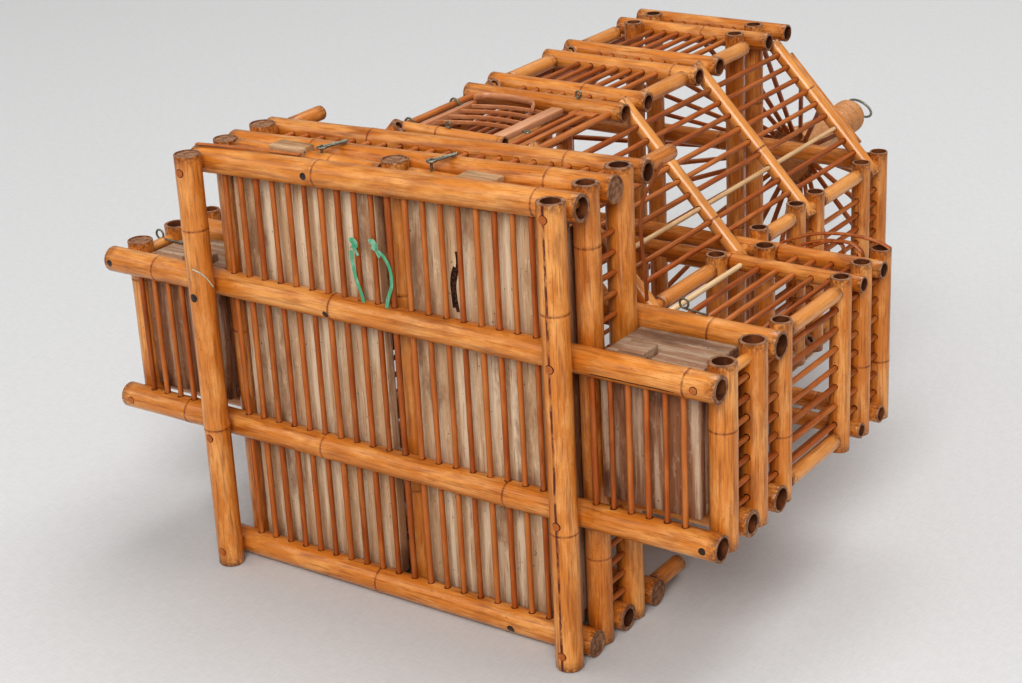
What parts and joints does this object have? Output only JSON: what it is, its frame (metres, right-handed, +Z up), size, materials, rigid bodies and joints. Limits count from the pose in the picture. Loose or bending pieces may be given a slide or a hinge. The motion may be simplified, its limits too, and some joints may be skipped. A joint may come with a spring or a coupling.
{
  "type": "birdcage",
  "caption": "Large bamboo birdcage lying on its side, with side wings, an octagonal tower of thin rods, sliding floor boards, a small door and a turned finial with a hanging ring.",
  "frame": {"origin": "centre of the bounding box in plan, on the surface that the cage lies on", "axes": "+X along the long base rails, +Y along the cage's own upright from the base to the hanging ring, +Z up as the cage lies on its side"},
  "size_m": [0.574, 0.8682, 0.3684],
  "materials": {
    "bamboo": "varnished bamboo, golden orange with red-brown mottling",
    "cane": "varnished split bamboo, red-brown",
    "board": "bare weathered board, grey-brown and stained",
    "turned_wood": "turned wood with a thin varnish",
    "wire": "dull iron wire, a little rusted"
  },
  "bodies": {
    "cage": {"base_grille": "bamboo", "corner_bar_lower_left": "bamboo", "corner_bar_lower_right": "bamboo", "corner_bar_upper_left": "bamboo", "corner_bar_upper_right": "bamboo", "cross_post_high_left": "bamboo", "cross_post_high_right": "bamboo", "cross_post_low_left": "bamboo", "cross_post_low_right": "bamboo", "doorway_rods": "cane", "eaves_post_left": "bamboo", "eaves_post_right": "bamboo", "finial": "turned_wood", "flat_wall_lower": "cane", "flat_wall_upper": "cane", "floor_post_left": "bamboo", "floor_post_right": "bamboo", "floor_rail_lower": "bamboo", "floor_rail_upper": "bamboo", "foot_post_left": "bamboo", "foot_post_right": "bamboo", "head_post_left": "bamboo", "head_post_right": "bamboo", "roof_beam_lower": "bamboo", "roof_beam_upper": "bamboo", "roof_left": "cane", "roof_lower": "cane", "roof_right": "cane", "roof_slanted_lower_left": "cane", "roof_slanted_lower_right": "cane", "roof_slanted_upper_left": "cane", "roof_slanted_upper_right": "cane", "roof_upper": "cane", "side_wall_left": "cane", "side_wall_right": "cane", "slanted_wall_lower_left": "cane", "slanted_wall_lower_right": "cane", "slanted_wall_upper_left": "cane", "slanted_wall_upper_right": "cane", "tray_post_left": "bamboo", "tray_post_middle": "bamboo", "tray_post_right": "bamboo", "tray_rail_lower": "bamboo", "tray_rail_upper": "bamboo", "wing_floor_rail_lower": "bamboo", "wing_floor_rail_upper": "bamboo", "wing_frame_lower": "bamboo", "wing_frame_upper": "bamboo", "wing_tray_rail": "bamboo", "wing_wall_left": "bamboo", "wing_wall_right": "bamboo"},
    "board_left": {"board_left": "board"},
    "board_right": {"board_right": "board"},
    "tray_left": {"wing_tray_left": "board"},
    "tray_right": {"wing_tray_right": "board"},
    "hook_left": {"hook_left": "wire"},
    "hook_right": {"hook_right": "wire"},
    "door": {"door": "bamboo"},
    "ring": {"hanging_ring": "wire"}
  },
  "joints": [
    {"name": "board_left_slide", "type": "slide", "parent": "cage", "child": "board_left", "axis": [0, 0, 1], "range_m": [0, 0.3]},
    {"name": "board_right_slide", "type": "slide", "parent": "cage", "child": "board_right", "axis": [0, 0, 1], "range_m": [0, 0.3]},
    {"name": "tray_left_slide", "type": "slide", "parent": "cage", "child": "tray_left", "axis": [0, 0, 1], "range_m": [0, 0.1]},
    {"name": "tray_right_slide", "type": "slide", "parent": "cage", "child": "tray_right", "axis": [0, 0, 1], "range_m": [0, 0.1]},
    {"name": "hook_left_turn", "type": "hinge", "parent": "board_left", "child": "hook_left", "pos_m": [-0.07, -0.3785, 0.3615], "axis": [0, 0, 1], "range_deg": [-90, 0]},
    {"name": "hook_right_turn", "type": "hinge", "parent": "board_right", "child": "hook_right", "pos_m": [0.034, -0.3785, 0.3615], "axis": [0, 0, 1], "range_deg": [-90, 0]},
    {"name": "door_hinge", "type": "hinge", "parent": "cage", "child": "door", "pos_m": [-0.066, -0.24, 0.35195], "axis": [0, -1, 0], "range_deg": [0, 110]},
    {"name": "ring_swing", "type": "hinge", "parent": "cage", "child": "ring", "pos_m": [0, 0.40579, 0.18792], "axis": [0.8486, 0.0249, -0.5285], "range_deg": [-80, 80]}
  ]
}
